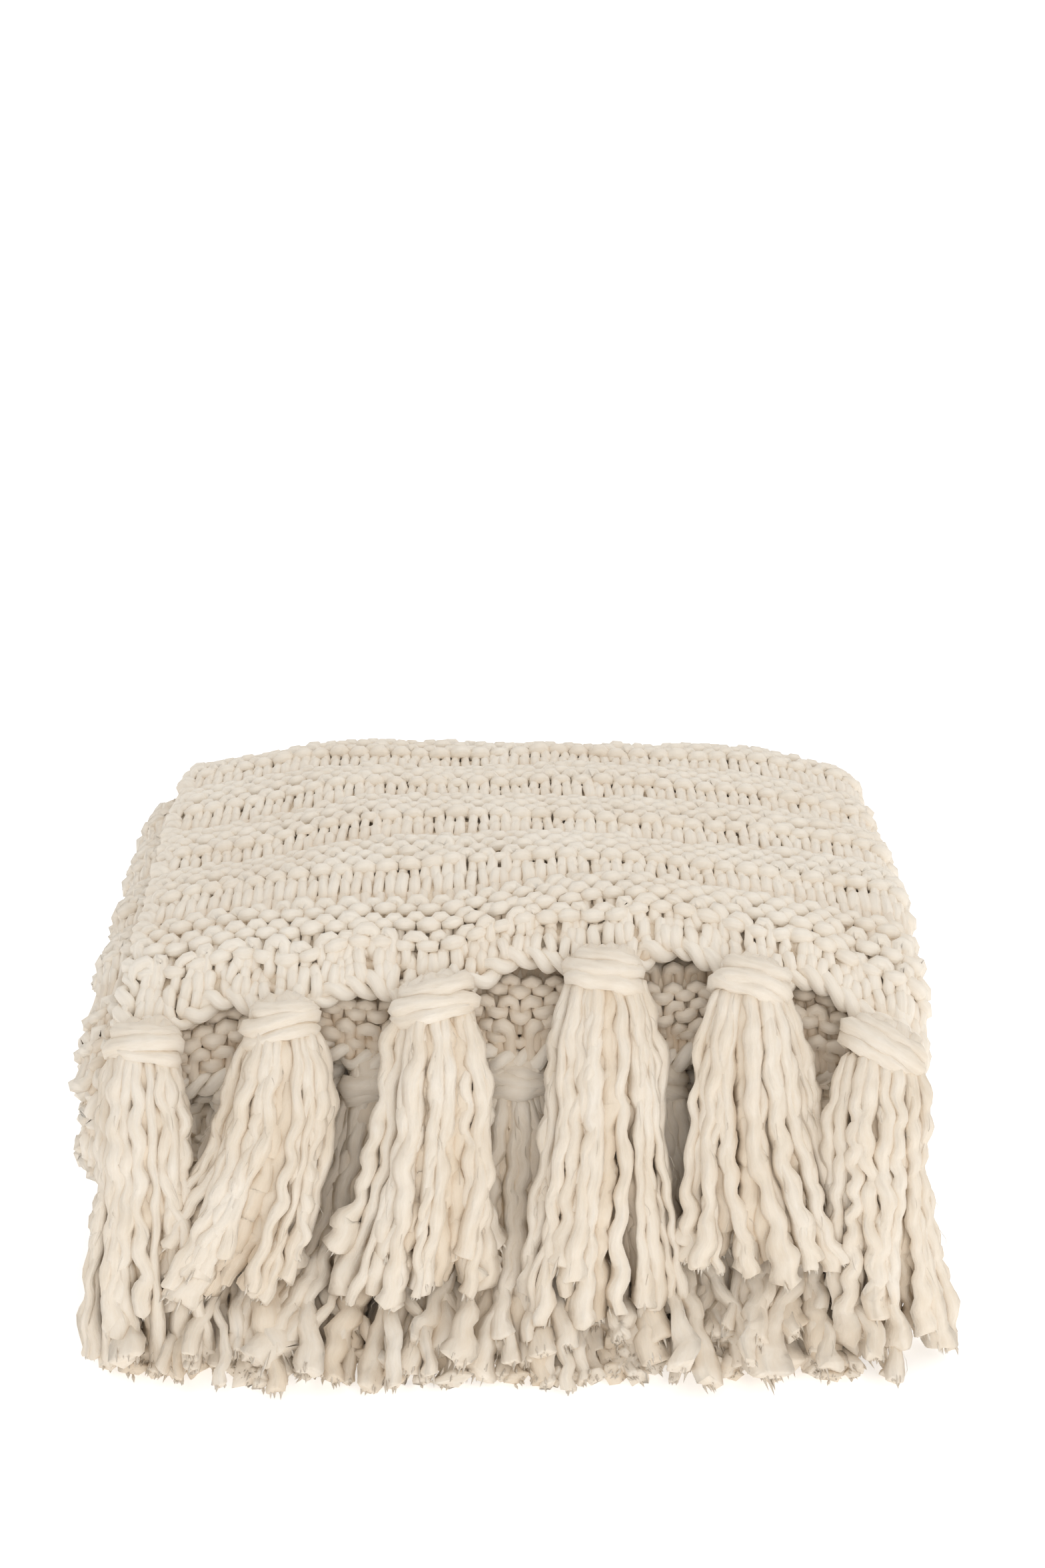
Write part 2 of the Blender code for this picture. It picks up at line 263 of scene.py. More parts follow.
    def slump(self, x: Array, y: Array, z: Array) -> tuple[Array, Array, Array]:
        """Returns the places after the neat stack has settled as a soft throw does."""
        side = x / self.fold_x
        depth = (y - self.front_y) / self.run
        height = np.clip(z / (self.layers * self.layer), 0.0, 1.0)
        left = smooth((-side - 0.38) / 0.75)
        right = smooth((side - 0.62) / 0.5)
        crown = self.crown * (1 - 0.6 * side * side) * (1 - 0.25 * (2 * depth - 1) ** 2)
        wave = self.wave * np.sin(5.2 * side + 1.1) * np.cos(2.3 * depth)
        sag = self.left_slump * left * (1 - 0.55 * smooth(depth)) + self.right_slump * right
        bulge = np.sqrt(1 - height * height)
        moved = self.spread * side * (1 - height) + bulge * (self.right_bulge * right - self.left_bulge * left)
        return x + moved, y + 0.006 * np.sin(3.1 * height + 1.7 * side), z * (1 + crown + wave - sag)

    def place(self, across: Array | float, along: Array | float, lift: Array | float) -> Array:
        """Finds places on the folded cloth.

        Args:
            across: distances from the left selvedge of the top ply.
            along: distances along the bundle.
            lift: distances from the cloth's middle towards its right side.

        Returns:
            The places, with x, y and z in the last axis.
        """
        across, along, lift = np.broadcast_arrays(across, along, lift)
        x, height, side_x, side_up = self.width_line(across)
        x = x + lift * side_x
        height = height + lift * side_up
        y, z, back, up = self.stack_line(along)
        x, y, z = self.slump(x, y + height * back, z + height * up)
        return np.stack((x + self.origin[0], y + self.origin[1], z), axis=-1)

    @classmethod
    def from_solid(cls, node: str) -> FoldedCloth:
        """Returns the cloth standing where the solid of that name does."""
        raw = cls()
        across = np.linspace(0, raw.width, 400)[:, None]
        along = np.linspace(-raw.wrap_radius, raw.end, 700)[None, :]
        points = np.concatenate([raw.place(across, along, side * raw.ply / 2) for side in (-1, 1)])
        lowest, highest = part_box(node)
        middle = [(points[..., i].min() + points[..., i].max()) / 2 for i in range(2)]
        origin = [(lowest[i] + highest[i]) / 2 - middle[i] for i in range(2)]
        origin[1] = highest.y - points[..., 1].max()
        LOG.info("the cloth's origin is %s", origin)
        return cls(origin=(origin[0], origin[1]))


@dataclass
class YarnMesh:
    """Many lengths of yarn, gathered as tubes for one mesh.

    Attributes:
        sides: how many sides each tube has.
        lumpy: how far the yarn is from round, as a share of its radius.
        twist: the length of one turn of its twist.
    """

    sides: int = 6
    lumpy: float = 0.10
    twist: float = 0.030
    points: list[Array] = field(default_factory=list)
    quads: list[Array] = field(default_factory=list)
    uvs: list[Array] = field(default_factory=list)
    painted_shades: list[Array] = field(default_factory=list)
    count: int = 0

    def add(
        self,
        path: Array,
        radius: Array | float,
        fray: Array | None = None,
        flat: Array | None = None,
        inner: Array | float = 0.0,
    ) -> None:
        """Adds tubes along paths of equal point counts.

        Args:
            path: middles, as tubes by points by 3.
            radius: the yarn's radius at each, or one that broadcasts.
            fray: how far points may stray along the yarn at each ring, as at a cut end.
            flat: how far the yarn is flattened at each ring, from 0 to 1.
            inner: how much painted shade each ring gets, from 0 to 1, for how deep in the wool it lies.
        """
        tubes, length, _ = path.shape
        closing = np.ones(length)
        closing[[0, -1]] = CLOSED_END
        radius = np.broadcast_to(radius, (tubes, length)) * closing
        tangent = unit(np.gradient(path, axis=1))
        normal = self._normals(tangent)
        binormal = np.cross(tangent, normal)
        angle = np.arange(self.sides) * TAU / self.sides
        ring = normal[:, :, None] * np.cos(angle)[:, None] + binormal[:, :, None] * np.sin(angle)[:, None]
        travelled = np.cumsum(np.linalg.norm(np.diff(path, axis=1, prepend=path[:, :1]), axis=-1), axis=1)
        phase = np.random.default_rng(SEED + tubes).uniform(0, TAU, (2, tubes, 1, 1))
        twist = travelled[:, :, None] * TAU
        lumps = np.sin(2 * angle + twist / self.twist + phase[0]) + np.sin(angle - twist / FINE_TWIST + phase[1])
        girth = 1 + 0.5 * self.lumpy * lumps
        if flat is not None:
            girth = girth + flat[:, :, None] * np.cos(2 * angle + 0.25 * (phase[1] - math.pi))
        path = path.copy()
        path[..., 2] = np.maximum(path[..., 2], 0.8 * radius)
        verts = path[:, :, None] + ring * (radius[:, :, None] * girth)[..., None]
        if fray is not None:
            stray = np.random.default_rng(SEED + self.count).uniform(-1, 1, (tubes, 1, self.sides, 1))
            verts = verts + tangent[:, :, None] * stray * fray[..., None, None]
        verts[..., 2] = np.maximum(verts[..., 2], 0.0)
        spans = length - 1
        tube = np.arange(tubes)[:, None, None] * length
        step = np.arange(spans)[None, :, None]
        side = np.arange(self.sides)[None, None, :]
        here = (tube + step) * self.sides
        ahead = (tube + step + 1) * self.sides
        following = (side + 1) % self.sides
        quads = np.stack((here + side, here + following, ahead + following, ahead + side), axis=-1)
        start = travelled[:, :spans, None] + tube * PATTERN_STEP
        stop = start + np.linalg.norm(np.diff(path, axis=1), axis=-1)[:, :, None]
        low = np.broadcast_to(side / self.sides, quads.shape[:3])
        high = low + 1 / self.sides
        start, stop = np.broadcast_to(start, low.shape), np.broadcast_to(stop, low.shape)
        corners = ((start, low), (start, high), (stop, high), (stop, low))
        uvs = np.stack([np.stack(corner, axis=-1) for corner in corners], axis=3)
        self.quads.append(quads.reshape(-1, 4) + self.count)
        self.uvs.append(uvs.reshape(-1, 2))
        self.points.append(verts.reshape(-1, 3))
        self.painted_shades.append(np.broadcast_to(inner, (tubes, length))[:, :, None].repeat(self.sides, axis=2).ravel())
        self.count += tubes * length * self.sides

    @staticmethod
    def _normals(tangent: Array) -> Array:
        """Returns a direction square to each tangent that turns as little as it can along a tube."""
        normal = np.zeros_like(tangent)
        helper = np.where(np.abs(tangent[:, 0, 2:3]) < 0.8, [0.0, 0.0, 1.0], [1.0, 0.0, 0.0])
        last = helper
        for step in range(tangent.shape[1]):
            here = tangent[:, step]
            last = unit(last - np.sum(last * here, axis=-1, keepdims=True) * here)
            normal[:, step] = last
        return normal

    def build(self, name: str) -> bpy.types.Object:
        """Returns one object made of all the tubes, with a UV map that runs along the yarn."""
        points = np.concatenate(self.points).astype(np.float32)
        quads = np.concatenate(self.quads).astype(np.int32)
        uvs = np.concatenate(self.uvs).astype(np.float32)
        mesh = bpy.data.meshes.new(name)
        mesh.vertices.add(len(points))
        mesh.vertices.foreach_set("co", points.ravel())
        mesh.loops.add(quads.size)
        mesh.loops.foreach_set("vertex_index", quads.ravel())
        mesh.polygons.add(len(quads))
        mesh.polygons.foreach_set("loop_start", np.arange(0, quads.size, 4, dtype=np.int32))
        mesh.polygons.foreach_set("use_smooth", np.ones(len(quads), bool))
        mesh.update(calc_edges=True)
        layer = mesh.uv_layers.new(name="yarn")
        layer.data.foreach_set("uv", uvs.ravel())
        # The "inner" attribute carries each ring's painted shade, for how deep in the wool it lies.
        depth = mesh.attributes.new("inner", "FLOAT", "POINT")
        depth.data.foreach_set("value", np.concatenate(self.painted_shades).astype(np.float32))
        return placed(name, mesh)


class Stitch(Enum):
    """How a course of the knit shows on the side that is seen."""

    PURL = 1.0
    KNIT = -1.0
    RIB = -1.2

    @property
    def height(self) -> float:
        """Returns how tall a course of this stitch is."""
        return {Stitch.PURL: 0.0146, Stitch.KNIT: 0.0109, Stitch.RIB: 0.0095}[self]


@dataclass
class Noise:
    """Slow random changes, the same on each run."""

    seed: int

    def along(self, shape: tuple[int, int], step: float) -> Array:
        """Returns values of about -1 to 1 that change over some samples along the second axis."""
        generator = np.random.default_rng(self.seed)
        self.seed += 1
        knots = max(int(shape[1] / step) + 4, 4)
        values = generator.uniform(-1, 1, (shape[0], knots))
        at = np.linspace(0, knots - 2.001, shape[1])
        index = at.astype(int)
        share = smooth(at - index)
        return values[:, index] * (1 - share) + values[:, index + 1] * share

    def over(self, across: Array, along: Array, size: float) -> Array:
        """Returns values of about -1 to 1 that change slowly over a surface, in patches of a size."""
        generator = np.random.default_rng(self.seed)
        self.seed += 1
        total = np.zeros(np.broadcast(across, along).shape)
        for _ in range(5):
            turn = generator.uniform(0, TAU)
            pace = TAU / (size * generator.uniform(0.8, 1.6))
            total = total + np.sin(pace * (across * math.cos(turn) + along * math.sin(turn)) + turn * 3)
        return total / 3


@dataclass
class KnitPanel:
    """A part of one face of the cloth, covered in courses of real yarn.

    Attributes:
        cloth: the folded cloth.
        name: the piece's name.
        across: where it starts and ends across the cloth.
        along: where it starts and ends along the bundle; None starts at the upper hem.
        face: 1 for the right side, -1 for the wrong side.
        samples, sides: points along the yarn for each stitch, and sides of its tube.
        hem_tassels: the tassels' distances across, where the hem is scalloped between them.
        edges, parts: "hem", "selvedge" or both, where they are bound, and how many objects it makes.
        stitch_width: the width of a stitch.
        loop_height, loop_depth: how far the yarn swings up and down in courses, and in and out.
        lean, crest: how far the legs of a loop lean, in stitches, and how flat its top is.
        yarn_radius, base_lift: the yarn's usual radius, and how far it lies from the cloth's middle.
        hem_courses, band, relief: courses next to a hem, those that repeat, and how far these stand out.
        meander, scallop: how far the courses wander, and how far the hem rises between its tassels.
        inner: how much painted shade its yarn has throughout, where it lies deep in the stack.
        fade: how far from the hem its slant dies away.
        lengths: distances over the panel, worked out by measure.
    """

    cloth: FoldedCloth
    name: str
    across: tuple[float, float]
    along: tuple[float | None, float]
    face: int = 1
    samples: int = 12
    sides: int = 6
    hem_tassels: tuple[float, ...] = ()
    edges: tuple[str, ...] = ()
    parts: int = 1
    stitch_width: float = 0.0130
    loop_height: float = 0.75
    loop_depth: float = 0.0027
    lean: float = 0.145
    crest: float = 0.40
    yarn_radius: float = 0.0040
    base_lift: float = 0.0046
    hem_courses: tuple[Stitch, ...] = (Stitch.RIB,) * 3
    band: tuple[Stitch, ...] = (Stitch.PURL,) * 3 + (Stitch.KNIT,) * 2
    relief: tuple[float, ...] = (0.0032, 0.0030, 0.0014, -0.0018, -0.0018)
    meander: float = 0.0060
    scallop: float = 0.010
    inner: float = 0.0
    fade: float = 0.16
    lengths: dict[str, Any] = field(default_factory=dict)

    def measure(self) -> None:
        """Works out real distances over the panel, across and along."""
        lift = self.face * (self.base_lift + self.yarn_radius)
        low, high = self.across
        middle = (low + high) / 2
        start = float(self.cloth.hem_line(middle)) if self.along[0] is None else self.along[0]
        along = np.linspace(start, self.along[1], 900)
        line = self.cloth.place(middle, along, lift)
        self.lengths["along"] = along
        self.lengths["down"] = distances(line)
        across = np.linspace(low, high, 500)
        line = self.cloth.place(across, (start + self.along[1]) / 2, lift)
        self.lengths["across"] = across
        self.lengths["over"] = distances(line)
        self.lengths["start"] = start

    def on_cloth(self, over: Array, down: Array, lift: Array) -> Array:
        """Finds places on the panel by real distances.

        Args:
            over: distances across it.
            down: distances from its hem or its start.
            lift: distances out of the cloth's middle.

        Returns:
            The places.
        """
        across = np.interp(over, self.lengths["over"], self.lengths["across"])
        past = np.minimum(over, 0) + np.maximum(over - self.lengths["over"][-1], 0)
        across = across + past
        along = np.interp(down, self.lengths["down"], self.lengths["along"]) + np.minimum(down, 0)
        if self.along[0] is None:
            near = 1 - smooth(down / self.fade)
            along = along + near * (self.cloth.hem_line(across) - self.lengths["start"])
        if self.hem_tassels:
            tassels = np.array(self.hem_tassels)
            wave = 0.5 - 0.5 * np.cos(TAU * np.interp(across, tassels, np.arange(len(tassels))))
            along = along + self.scallop * wave * (1 - smooth(down / 0.06))
        return self.cloth.place(across, along, self.face * lift)

    def stitches(self, course: int) -> Stitch:
        """Returns the kind of stitch in a course, counted from the hem or the panel's start."""
        if self.along[0] is None:
            if course < len(self.hem_courses):
                return self.hem_courses[course]
            course -= len(self.hem_courses)
        return self.band[course % len(self.band)]

    def raised(self, course: Array) -> Array:
        """Returns how far the welts stand out at a place counted in courses."""
        skip = len(self.hem_courses) if self.along[0] is None else 0
        knots = np.arange(-2, 80)
        heights = np.array([self.relief[i % len(self.relief)] for i in knots])
        heights = np.where(knots < 0, -0.0012, heights) if skip else heights
        return np.interp(course - skip, knots, heights)

    def courses(self) -> tuple[Array, Array, Array]:
        """Returns the middles of the yarn in every course, its radius, and its painted shade, more where it lies deep
        in the cloth.
        """
        noise = Noise(SEED + len(self.name) * 7)
        wide, long = self.lengths["over"][-1], self.lengths["down"][-1]
        loops = max(int(round(wide / self.stitch_width)), 2)
        ladder = np.cumsum([0.0] + [self.stitches(index).height for index in range(90)])
        rows = int(np.searchsorted(ladder, long)) - 1
        turn = np.linspace(-math.pi / 2, TAU * loops - math.pi / 2, loops * self.samples + 1)[None, :]
        course = np.arange(rows)[:, None]
        kinds = np.array([self.stitches(index).value for index in range(rows + 1)])
        head = (1 + np.cos(turn)) / 2
        kind = kinds[:-1, None] * (1 - head) + kinds[1:, None] * head
        purl = smooth(0.5 + 0.5 * kind)
        shape = (rows, turn.shape[1])
        stitch = wide / loops
        wobble = noise.along(shape, self.samples * 1.5)
        loose = np.where(kinds[:-1, None] == Stitch.RIB.value, 2.2, 1.0)
        over = stitch * ((turn + math.pi / 2) / TAU + self.lean * np.sin(2 * turn))
        over = over + 0.0012 * loose * noise.along(shape, self.samples * 0.8)
        over = over + 0.0013 * (loose - 1) * np.sin(TAU * over / (2 * stitch))
        crest = np.cos(turn)
        crest = crest * (1 + self.crest * (1 - crest * crest))
        place = course + 0.75 + (self.loop_height + 0.05 * wobble) * crest
        down = np.interp(place, np.arange(len(ladder)), ladder) + 0.0013 * noise.along(shape, self.samples * 2.5)
        down = down + 0.0011 * loose * noise.along(shape, self.samples * 0.7)
        down = down + self.meander * noise.over(over, down, 0.17) * smooth(down / 0.05)
        depth = self.loop_depth * kind * np.cos(2 * turn)
        lift = self.base_lift + depth + self.raised(place)
        lift = lift + 0.0011 * loose * noise.along(shape, self.samples * 0.8)
        radius = self.yarn_radius * (1 + 0.18 * noise.along(shape, self.samples * 1.1))
        radius = radius * (0.90 + purl * (0.28 * np.abs(np.cos(turn)) - 0.15))
        ends = np.minimum(turn + math.pi / 2, TAU * loops - math.pi / 2 - turn)
        # Painted shade: yarn that sinks towards the cloth's middle turns warmer and darker.
        inner = self.inner + 0.8 * np.clip((0.0056 - lift) / 0.005, 0, 1)
        return self.on_cloth(over, down, lift), radius * np.clip(0.25 + ends, 0, 1), inner

    def bound_edge(self, length: float, at_hem: bool) -> tuple[Array, Array]:
        """Coils a fat yarn round an edge of the cloth, as a cast-off or a selvedge.

        Args:
            length: the edge's length.
            at_hem: True for the hem, False for the left selvedge.

        Returns:
            The middles of the yarn and its radius.
        """
        noise = Noise(SEED * 3 + len(self.name))
        pitch = 0.0215 if at_hem else 0.0225
        turns = int(length / pitch)
        turn = twin_coil(turns, 14)
        shape = turn.shape
        run = length * (turn - turn[:, :1]) / (TAU * turns) + 0.0012 * noise.along(shape, 9)
        out = -0.0002 + 0.0036 * np.cos(turn) + 0.0018 * noise.along(shape, 12)
        lift = 0.0026 + 0.0034 * np.sin(turn) + 0.0016 * noise.along(shape, 10)
        radius = 0.0040 * (1 + 0.26 * noise.along(shape, 7))
        if at_hem:
            return self.on_cloth(run, out, lift), radius
        return self.on_cloth(out, run, lift), radius

    def build(self) -> list[bpy.types.Object]:
        """Returns the panel's objects, one for each of its parts."""
        self.measure()
        path, radius, inner = self.courses()
        made = []
        for part, rows in enumerate(np.array_split(np.arange(len(path)), self.parts)):
            yarn = YarnMesh(self.sides)
            yarn.add(path[rows], radius[rows], inner=inner[rows])
            if part == 0 and "hem" in self.edges:
                yarn.add(*self.bound_edge(self.lengths["over"][-1], True))
            if part == 0 and "selvedge" in self.edges:
                yarn.add(*self.bound_edge(self.lengths["down"][-1], False))
            made.append(yarn.build(f"{self.name}_{part + 1}"))
        return made


@dataclass
class Selvedges:
    """The long edges of the folded cloth, each bound with two yarns twisted together.

    Attributes:
        cloth: the folded cloth.
        pitch: the length of one turn of the yarns.
        yarn_radius: their usual radius.
    """

    cloth: FoldedCloth
    pitch: float = 0.0235
    yarn_radius: float = 0.0038

    def build(self) -> bpy.types.Object:
        """Returns both edges as one object."""
        cloth = self.cloth
        noise = Noise(SEED * 9)
        yarn = YarnMesh(5)
        starts = (cloth.run + cloth.turn_arc, float(cloth.hem_line(cloth.width)))
        for edge, inward, start in ((0.0, 1.0, starts[0]), (cloth.width, -1.0, starts[1])):
            along = np.linspace(start, cloth.end, 900)
            run = distances(cloth.place(edge, along, 0.0))
            turns = int(run[-1] / self.pitch)
            turn = twin_coil(turns, 10)
            shape = turn.shape
            where = np.interp(run[-1] * (turn - turn[:, :1]) / (TAU * turns), run, along)
            out = 0.0014 + 0.0034 * np.cos(turn) + 0.0014 * noise.along(shape, 9)
            lift = 0.0046 * np.sin(turn) + 0.0010 * noise.along(shape, 9)
            radius = self.yarn_radius * (1 + 0.22 * noise.along(shape, 6))
            yarn.add(cloth.place(edge + inward * out, where, lift), radius)
        return yarn.build("selvedges")


@dataclass
class BackingCloth:
    """The body of the knit behind its yarn: one sheet, folded as the solid is. It shows in the gaps between the
    stitches, where its darker colour is painted shade.

    Attributes:
        cloth: the folded cloth.
        thickness: how thick the body is between the faces that the yarn covers.
        columns: steps of the mesh across the cloth.
        rows: steps of the mesh along it.
        inset: how far it stays inside the selvedges and the lower hem.
        hem_inset: how far it stays inside the upper hem, which is scalloped.
    """

    cloth: FoldedCloth
    thickness: float = 0.0084
    columns: int = 60
    rows: int = 170
    inset: float = 0.003
    hem_inset: float = 0.013

    def build(self) -> bpy.types.Object:
        """Returns the sheet's object."""
        bm = bmesh.new()
        bmesh.ops.create_grid(bm, x_segments=self.columns, y_segments=self.rows, size=0.5, calc_uvs=True)
        made = bmesh.ops.extrude_face_region(bm, geom=bm.faces[:])
        lifted = [item for item in made["geom"] if isinstance(item, bmesh.types.BMVert)]
        bmesh.ops.translate(bm, verts=lifted, vec=(0.0, 0.0, 1.0))
        flat = np.array([vert.co for vert in bm.verts])
        across = self.inset + (flat[:, 0] + 0.5) * (self.cloth.width - 2 * self.inset)
        hem = self.cloth.hem_line(across) + self.hem_inset
        along = hem + (flat[:, 1] + 0.5) * (self.cloth.end - self.inset - hem)
        places = self.cloth.place(across, along, (flat[:, 2] - 0.5) * self.thickness)
        for vert, place in zip(bm.verts, places):
            vert.co = place
        bmesh.ops.recalc_face_normals(bm, faces=bm.faces)
        mesh = bpy.data.meshes.new("knit_body")
        bm.to_mesh(mesh)
        bm.free()
        mesh.shade_smooth()
        return placed("knit_body", mesh)


@dataclass(frozen=True)
class Fall:
    """How a tassel falls: sideways at its tip, how far it fans out, its tip's height, and how its knot sits.

    The knot's own values are how far it slips down and sideways, how much its wraps tilt and how wide it is.
    """

    lean: float = 0.0
    fan: float = 1.0
    tip: float | None = None
    slip: float = 0.0
    shift: float = 0.0
    slant: float = 0.0
    girth: float = 1.0


@dataclass(frozen=True)
class Route:
    """Where a hank goes from its knot: how it leaves, its knee and its tip, each as (y, z)."""

    leave: tuple[float, float]
    knee: tuple[float, float]
    tip: tuple[float, float]


@dataclass
class Tassel:
    """One hank of roving, wrapped below the hem and cut.

    Attributes:
        name: its solid's name, to which its piece adds a suffix.
        place, turn: where the knot hangs on the hem, and its right, behind and up as columns.
        route, fall: where the hank goes, and how it falls.
        strands: how many cut ends it has.
        width, deep, tall: the knot's size.
        stand_off, overlap: how far the knot is in front of the hem's middle, and how far it rises over it.
        tip_width, tip_deep: the hank's size at its tip before it fans out.
        seed: what makes it unlike the others.
        offset: how far the route's y and z are shifted in the model's frame.
        lying: True where the route starts from the knot itself.
        roving, steps: the strands' usual radius, and the points along each.
        wraps, loops: turns of roving round the knot, and loops of it over the hem.
        splay, crimp, ragged: how far the cut ends stray, the strands wave and their lengths differ.
        inner: how much painted shade its strands get at most, where they lie deep in the stack.
        cap_steps, cap_girths, cap_fray: where a strand's last rings are, how wide and how uneven, in radii.
    """

    name: str
    place: Array
    turn: Array
    route: Route
    fall: Fall
    strands: int
    width: float
    deep: float
    tall: float
    stand_off: float
    overlap: float
    tip_width: float
    tip_deep: float
    seed: int
    offset: tuple[float, float] = (0.0, 0.0)
    lying: bool = False
    roving: float = 0.0042
    steps: int = 40
    wraps: float = 3.3
    loops: int = 5
    splay: float = 0.0
    crimp: float = 0.0010
    ragged: float = 0.11
    inner: float = 0.15
    cap_steps: tuple[float, ...] = (0.16, 0.30, 0.26)
    cap_girths: tuple[float, ...] = (0.93, 0.68, 0.06)
    cap_fray: tuple[float, ...] = (0.20, 0.30, 0.30, 0.0)

    def __post_init__(self) -> None:
        """Moves, tilts and widens the knot as its fall says."""
        self.overlap -= self.fall.slip
        self.width *= self.fall.girth
        self.place = self.place + self.fall.shift * self.turn[:, 0]

    def local(self, right: Array | float, behind: Array | float, up: Array | float) -> Array:
        """Returns places given in the knot's own directions from the hem."""
        right, behind, up = np.broadcast_arrays(right, behind, up)
        return self.place + np.stack((right, behind, up), axis=-1) @ self.turn.T

    def middle_line(self, share: Array) -> tuple[Array, Array]:
        """Returns the hank's middle from inside its knot to its tip, and its heading."""
        levels = (self.overlap - 0.55 * self.tall, self.overlap - self.tall)
        root, base = (self.local(0.0, -self.stand_off, level) for level in levels)
        ground = np.array((0.0, *self.offset))
        if self.lying:
            ground = base * (0.0, 1.0, 1.0)
        tip = (self.route.tip[0], self.fall.tip if self.fall.tip else self.route.tip[1])
        corners = [root, base + np.array((0.0, *self.route.leave))]
        corners += [np.array((base[0], *point)) + ground for point in (self.route.knee, tip)]
        corners[3] = corners[3] + np.array((self.fall.lean, 0.0, 0.0))
        corners[2] = corners[2] + np.array((self.fall.lean * 0.5, 0.0, 0.0))
        rest = 1 - share
        weights = (rest**3, 3 * rest**2 * share, 3 * rest * share**2, share**3)
        line = sum(weight[..., None] * corner for weight, corner in zip(weights, corners))
        slopes = (rest**2, 2 * rest * share, share**2)
        ahead = sum(w[..., None] * (b - a) for w, a, b in zip(slopes, corners[:-1], corners[1:]))
        return line, unit(ahead)

    def strand_lines(self, generator: np.random.Generator, noise: Noise, core: Array) -> tuple[Array, Array, Array]:
        """Lays out the strands of the hank.

        Args:
            generator: what makes the strands unlike each other.
            noise: the slow changes along them.
            core: True for each strand in the middle of the hank.

        Returns:
            The strands' middles, how far along the hank each point is, and the angle of each strand's wave.
        """
        count = self.strands
        reach = np.where(core, 0.45, 0.74 + 0.26 * generator.random(count))
        angle = np.arange(count) * GOLDEN_ANGLE + generator.uniform(-0.3, 0.3, count)
        ends = 1.05 - self.ragged * generator.random(count) ** 1.4
        ends = np.where(generator.random(count) < 0.12, ends - 0.14, ends)
        share = np.linspace(0, 1, self.steps)[None, :] * ends[:, None]
        line, ahead = self.middle_line(share)
        behind = unit(np.stack((np.zeros_like(share), -ahead[..., 2], ahead[..., 1]), axis=-1))
        opened = np.clip(share, 0, 1) ** 0.85
        wide = self.width * 0.37 + (self.tip_width * self.fall.fan * 0.5 - self.width * 0.37) * opened
        deep = self.deep * 0.34 + (self.tip_deep * 0.5 - self.deep * 0.34) * opened
        belly = np.sin(math.pi * np.clip(share / 0.4, 0, 1)) * 0.0040
        loose = smooth(share / 0.2)
        length = float(np.linalg.norm(np.diff(line[0], axis=0), axis=-1).sum())
        crimp = TAU * length * share / generator.uniform(0.015, 0.027, (count, 1))
        phase = generator.uniform(0, TAU, (2, count, 1))
        swing = generator.uniform(0.4, 1.3, (count, 1)) * self.crimp * loose
        slow = self.steps / 6
        curl = swing * np.sin(crimp + phase[0]) + 0.0022 * loose * noise.along(share.shape, slow)
        curl_deep = swing * np.sin(crimp + phase[1]) + 0.0016 * loose * noise.along(share.shape, slow)
        splay = smooth((share - 0.4) / 0.6) ** 1.3 * self.splay
        curl = curl + splay * generator.uniform(-1.8, 1.8, (count, 1))
        curl_deep = curl_deep + 0.5 * splay * generator.uniform(-1.2, 1.2, (count, 1))
        across = (reach * np.cos(angle))[:, None] * (wide + belly) + curl
        depth = (reach * np.sin(angle))[:, None] * (deep + belly * 0.6) + curl_deep
        path = line + np.array((1.0, 0.0, 0.0)) * across[..., None]
        return path + behind * depth[..., None], share, crimp + phase[1]

    def strand_sizes(
        self, generator: np.random.Generator, noise: Noise, core: Array, share: Array, wave: Array
    ) -> tuple[Array, Array]:
        """Works out how thick and how flat the strands are.

        Args:
            generator: what makes the strands unlike each other.
            noise: the slow changes along them.
            core: True for each strand in the middle of the hank.
            share: how far along the hank each point is.
            wave: the angle of each strand's wave.

        Returns:
            The radius at each point, and how far the strand is flattened there.
        """
        single = (self.strands, 1)
        inside = core[:, None]
        thick = np.where(generator.random(single) < 0.2, 0.66, generator.uniform(0.86, 1.20, single))
        thick = np.where(inside, 1.70, thick)
        radius = self.roving * thick * (1 + 0.08 * np.sin(wave) + 0.22 * noise.along(share.shape, 3.4))
        radius = radius * (0.90 + 0.10 * smooth(share / 0.15))
        ending = smooth((np.linspace(0, 1, self.steps)[None, :] - 0.76) / 0.24)
        wild = generator.random(single) < 0.3
        brush, plain = generator.uniform(0.40, 0.75, single), generator.uniform(0.0, 0.3, single)
        flare = np.where(inside, -0.35, np.where(wild, brush, plain)) * ending
        return radius * (1 + flare), 0.06 + np.where(wild, 0.44, 0.26) * ending

    def hank(self, yarn: YarnMesh, wisps: Wisps) -> None:
        """Adds the strands of the hank, each with its cut end."""
        generator = np.random.default_rng(self.seed)
        noise = Noise(self.seed + 500)
        core = np.arange(self.strands) < self.strands // 4
        path, share, wave = self.strand_lines(generator, noise, core)
        radius, flat = self.strand_sizes(generator, noise, core, share, wave)
        floor = radius * 0.92 + 0.0003
        path[..., 2] = np.where(path[..., 2] < floor, floor + 0.10 * np.abs(path[..., 2] - floor), path[..., 2])
        tail = unit(path[:, -1] - path[:, -3])
        last = radius[:, -1]
        reach = np.array(self.cap_steps)[None, :] * last[:, None]
        path = np.concatenate((path, path[:, -1:] + tail[:, None] * reach[..., None]), axis=1)
        radius = np.concatenate((radius, last[:, None] * np.array(self.cap_girths)), axis=1)
        flat = np.concatenate((flat, np.repeat(flat[:, -1:], len(self.cap_steps), axis=1)), axis=1)
        fray = np.zeros_like(radius)
        fray[:, -4:] = last[:, None] * np.array(self.cap_fray)
        # Painted shade: the core strands get the most, the others a random share of it.
        inner = np.where(core, self.inner + 0.25, self.inner * generator.random(self.strands))[:, None]
        yarn.add(path, radius, fray, flat, inner)
        wisps.tuft(path[:, -3], tail, last, generator)
        wisps.stray(path[:, :-4], radius[:, :-4], generator)

